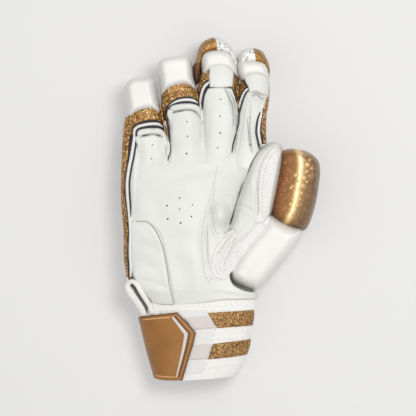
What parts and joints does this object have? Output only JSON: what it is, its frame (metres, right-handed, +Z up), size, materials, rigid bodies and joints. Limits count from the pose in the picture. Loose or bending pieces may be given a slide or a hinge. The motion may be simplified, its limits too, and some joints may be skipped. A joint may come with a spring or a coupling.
{
  "type": "cricket batting glove",
  "caption": "Right-hand cricket batting glove in white leather and gold mesh, with padded rolls, thumb guard and strap cuff, lying palm up.",
  "frame": {"origin": "centre of the glove's outline, on the surface it lies on", "axes": "+Y from the cuff to the fingertips, +X towards the thumb, +Z up out of the palm"},
  "size_m": [0.1554, 0.2682, 0.056],
  "materials": {
    "leather": "satin",
    "padded_leather": "satin",
    "gold_mesh": "glittering",
    "piping": "matte",
    "white_mesh": "matte",
    "gold_foil": "metallic",
    "guard_print": "metallic",
    "cuff_cloth": "matte",
    "gold_stripe": "glittering",
    "loop_cloth": "matte",
    "badge_leather": "satin"
  },
  "bodies": {
    "root": {"back_panel": "leather", "cuff_band": "cuff_cloth", "cuff_stripe_lower": "gold_stripe", "cuff_stripe_upper": "gold_stripe", "heel_patch": "leather", "index_base_roll": "padded_leather", "index_guard": "guard_print", "index_hand_roll": "padded_leather", "index_mid_roll": "padded_leather", "index_piping": "piping", "index_side_mesh": "gold_mesh", "index_tip_mesh": "gold_mesh", "index_tip_roll": "padded_leather", "index_tip_strap": "leather", "little_base_roll": "padded_leather", "little_hand_roll": "padded_leather", "little_mid_roll": "padded_leather", "little_piping": "piping", "little_tip_mesh": "gold_mesh", "little_tip_roll": "padded_leather", "loop_patch": "loop_cloth", "middle_base_roll": "padded_leather", "middle_guard": "guard_print", "middle_hand_roll": "padded_leather", "middle_mid_roll": "padded_leather", "middle_piping": "piping", "middle_tip_mesh": "gold_mesh", "middle_tip_roll": "padded_leather", "middle_tip_strap": "leather", "outer_piping": "piping", "outer_side_mesh": "gold_mesh", "palm_leather": "leather", "ring_base_roll": "padded_leather", "ring_hand_roll": "padded_leather", "ring_mid_roll": "padded_leather", "ring_piping": "piping", "ring_tip_mesh": "gold_mesh", "ring_tip_roll": "padded_leather", "slit_binding": "padded_leather", "strap_badge": "badge_leather", "thumb_cap": "gold_foil", "thumb_gusset": "leather", "thumb_mesh_strip": "white_mesh", "thumb_mesh_web": "white_mesh", "thumb_roll": "padded_leather", "thumb_side_patch": "leather", "thumb_sleeve": "leather", "web_little_ring": "gold_mesh", "web_middle_index": "gold_mesh", "web_ring_middle": "gold_mesh", "wrist_strap": "padded_leather"}
  },
  "joints": []
}
